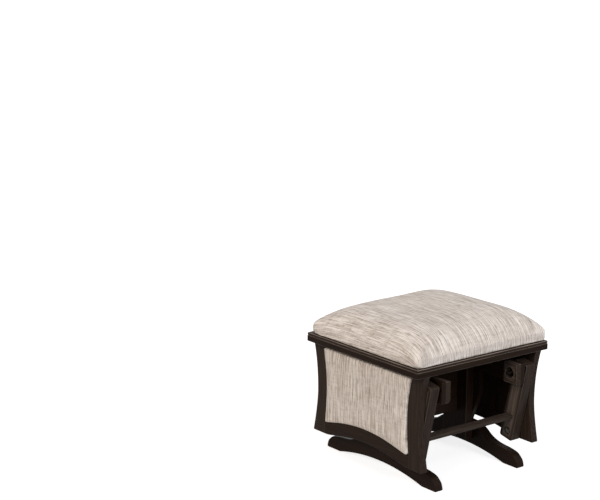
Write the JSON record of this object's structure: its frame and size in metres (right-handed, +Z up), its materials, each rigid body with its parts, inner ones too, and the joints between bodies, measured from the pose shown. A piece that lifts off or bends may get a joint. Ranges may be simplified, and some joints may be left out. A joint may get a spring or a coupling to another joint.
{
  "type": "glider ottoman",
  "caption": "Gliding footstool: an upholstered top on a framed seat with padded side panels, hung by swinging wooden arms from a base on two arched runners.",
  "frame": {"origin": "on the floor under the middle of the ottoman", "axes": "+Z up, X across the two upholstered sides, Y along the glide, with the open front at -Y"},
  "size_m": [0.455, 0.4402, 0.42],
  "materials": {
    "wood": "dark espresso stain, satin",
    "fabric": "light greige slub weave",
    "plywood": "raw plywood",
    "nylon": "moulded",
    "steel": "zinc plated"
  },
  "bodies": {
    "base": {"runner_left": "wood", "runner_right": "wood", "post_left": "wood", "post_right": "wood", "hanger_left": "wood", "hanger_right": "wood", "cross_board": "wood", "pivot_block_front_left": "wood", "pivot_block_front_right": "wood", "pivot_block_rear_left": "wood", "pivot_block_rear_right": "wood", "upper_bolt_front_left": "steel", "upper_bolt_front_right": "steel", "upper_bolt_rear_left": "steel", "upper_bolt_rear_right": "steel", "upper_nut_front_left": "steel", "upper_nut_front_right": "steel", "upper_nut_rear_left": "steel", "upper_nut_rear_right": "steel"},
    "front_link": {"arm_front_left": "wood", "arm_front_right": "wood", "link_rail_front": "wood", "upper_bush_front_left": "nylon", "upper_bush_front_right": "nylon", "lower_bush_front_left": "nylon", "lower_bush_front_right": "nylon"},
    "rear_link": {"arm_rear_left": "wood", "arm_rear_right": "wood", "link_rail_rear": "wood", "upper_bush_rear_left": "nylon", "upper_bush_rear_right": "nylon", "lower_bush_rear_left": "nylon", "lower_bush_rear_right": "nylon"},
    "seat": {"frame_rail_front": "wood", "frame_rail_rear": "wood", "frame_rail_left": "wood", "frame_rail_right": "wood", "seat_board": "plywood", "seat_cushion": "fabric", "panel_stile_front_left": "wood", "panel_stile_front_right": "wood", "panel_stile_rear_left": "wood", "panel_stile_rear_right": "wood", "panel_bottom_rail_left": "wood", "panel_bottom_rail_right": "wood", "panel_head_rail_left": "wood", "panel_head_rail_right": "wood", "panel_backing_left": "wood", "panel_backing_right": "wood", "side_pad_left": "fabric", "side_pad_right": "fabric", "lower_bolt_front_left": "steel", "lower_bolt_front_right": "steel", "lower_bolt_rear_left": "steel", "lower_bolt_rear_right": "steel"}
  },
  "joints": [
    {"name": "front_swing", "type": "hinge", "parent": "base", "child": "front_link", "pos_m": [0, -0.194, 0.26], "axis": [1, 0, 0], "range_deg": [-10, 10]},
    {"name": "rear_swing", "type": "hinge", "parent": "base", "child": "rear_link", "pos_m": [0, 0.194, 0.26], "axis": [1, 0, 0], "range_deg": [-10, 10]},
    {"name": "seat_tilt", "type": "hinge", "parent": "front_link", "child": "seat", "pos_m": [0, -0.155, 0.084], "axis": [1, 0, 0], "range_deg": [-12.5, 12.5]}
  ],
  "couplings": [
    {"joint": "rear_swing", "follows": "front_swing", "ratio": 1},
    {"joint": "seat_tilt", "follows": "front_swing", "ratio": -1.249}
  ]
}
